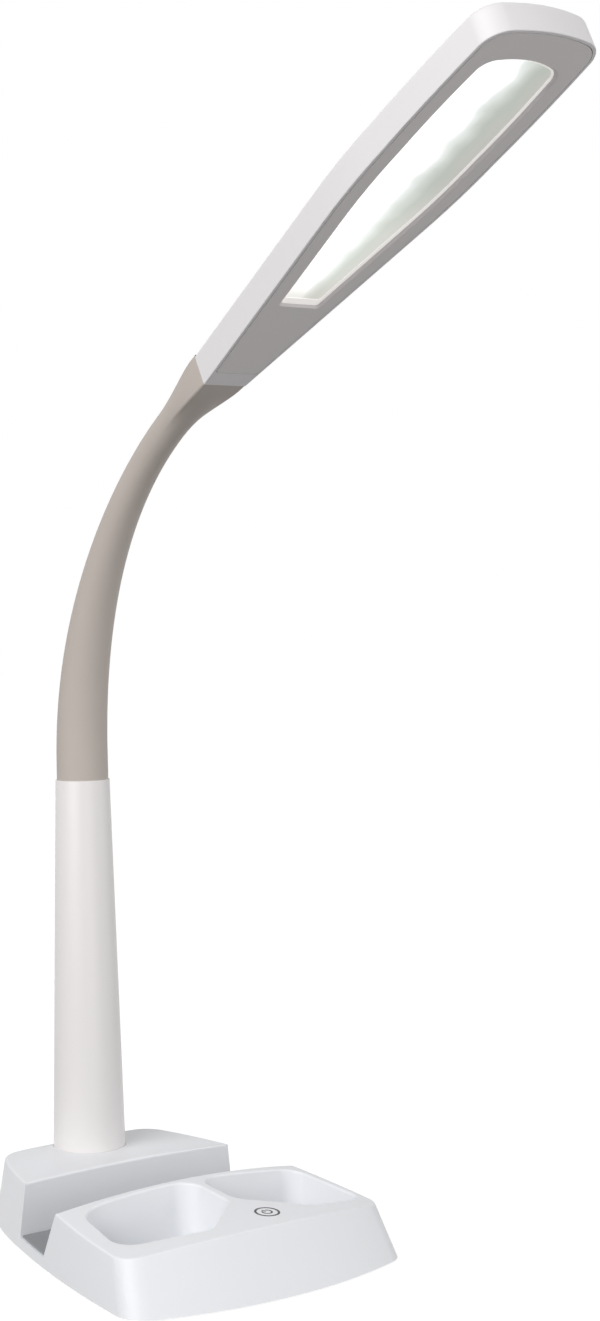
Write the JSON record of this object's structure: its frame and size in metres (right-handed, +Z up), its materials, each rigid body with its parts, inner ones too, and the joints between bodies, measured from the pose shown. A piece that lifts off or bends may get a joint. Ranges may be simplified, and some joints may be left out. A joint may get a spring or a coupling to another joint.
{
  "type": "desk lamp with organiser base",
  "caption": "LED desk lamp: flat paddle head on a sleeved gooseneck and conical stem, over a moulded organiser base with a phone slot and open cups.",
  "frame": {"origin": "on the desk, under the middle of the middle foot, on the base's plane of near-symmetry", "axes": "+Z up, +X to the right of a person who sits at the lamp, -Y towards that person, which is where the head reaches"},
  "size_m": [0.1642, 0.3818, 0.5805],
  "materials": {
    "housing": "fine matt moulding",
    "plate": "matt moulding",
    "foot": "soft matt",
    "fastener": "plated",
    "pad": "matt silicone",
    "ballast": "plain cut plate",
    "circuit_board": "solder mask",
    "electrode": "plain",
    "inlet": "moulded",
    "stem": "fine matt",
    "fitting": "zinc plated",
    "socket": "filled nylon",
    "sleeve": "matt silicone",
    "core": "wound spring steel",
    "head_housing": "fine matt",
    "head_panel": "fine matt",
    "diffuser": "opal, satin",
    "led_board": "white solder mask",
    "led": "phosphor",
    "bracket": "cast"
  },
  "bodies": {
    "base": {"base_shell": "housing", "base_plate": "plate", "rubber_feet": "foot", "base_screws": "fastener", "slot_pad": "pad", "ballast_plate": "ballast", "control_board": "circuit_board", "touch_board": "circuit_board", "touch_electrode": "electrode", "board_screws": "fastener", "dc_inlet": "inlet", "inlet_nut": "inlet", "stem_tube": "stem", "stem_nipple": "fitting", "stem_washer": "fitting", "stem_nut": "fitting", "neck_socket": "socket", "neck_sleeve_root": "sleeve", "neck_core_root": "core"},
    "neck_1": {"neck_sleeve_1": "sleeve", "neck_core_1": "core"},
    "neck_2": {"neck_sleeve_2": "sleeve", "neck_core_2": "core"},
    "neck_3": {"neck_sleeve_3": "sleeve", "neck_core_3": "core"},
    "neck_4": {"neck_sleeve_4": "sleeve", "neck_core_4": "core"},
    "neck_5": {"neck_sleeve_5": "sleeve", "neck_core_5": "core"},
    "neck_6": {"neck_sleeve_6": "sleeve", "neck_core_6": "core"},
    "head": {"neck_flare": "sleeve", "neck_core_tip": "core", "head_bracket": "bracket", "bracket_screws": "fastener", "head_shell": "head_housing", "head_panel": "head_panel", "diffuser": "diffuser", "led_board": "led_board", "leds": "led"}
  },
  "joints": [
    {"name": "neck_bend_1", "type": "hinge", "parent": "base", "child": "neck_1", "pos_m": [0, 0.08876, 0.26237], "axis": [1, 0, 0], "range_deg": [-20, 15]},
    {"name": "neck_sway_1", "type": "hinge", "parent": "neck_1", "child": "neck_2", "pos_m": [0, 0.08559, 0.28935], "axis": [0, 0.9833, 0.1822], "range_deg": [-20, 20]},
    {"name": "neck_bend_2", "type": "hinge", "parent": "neck_2", "child": "neck_3", "pos_m": [0, 0.07888, 0.31568], "axis": [1, 0, 0], "range_deg": [-20, 15]},
    {"name": "neck_sway_2", "type": "hinge", "parent": "neck_3", "child": "neck_4", "pos_m": [0, 0.06875, 0.34089], "axis": [0, 0.9011, 0.4337], "range_deg": [-20, 20]},
    {"name": "neck_bend_3", "type": "hinge", "parent": "neck_4", "child": "neck_5", "pos_m": [0, 0.05537, 0.36454], "axis": [1, 0, 0], "range_deg": [-20, 15]},
    {"name": "neck_sway_3", "type": "hinge", "parent": "neck_5", "child": "neck_6", "pos_m": [0, 0.03898, 0.38621], "axis": [0, 0.7559, 0.6547], "range_deg": [-20, 20]},
    {"name": "neck_bend_4", "type": "hinge", "parent": "neck_6", "child": "head", "pos_m": [0, 0.01986, 0.40553], "axis": [1, 0, 0], "range_deg": [-20, 15]}
  ]
}
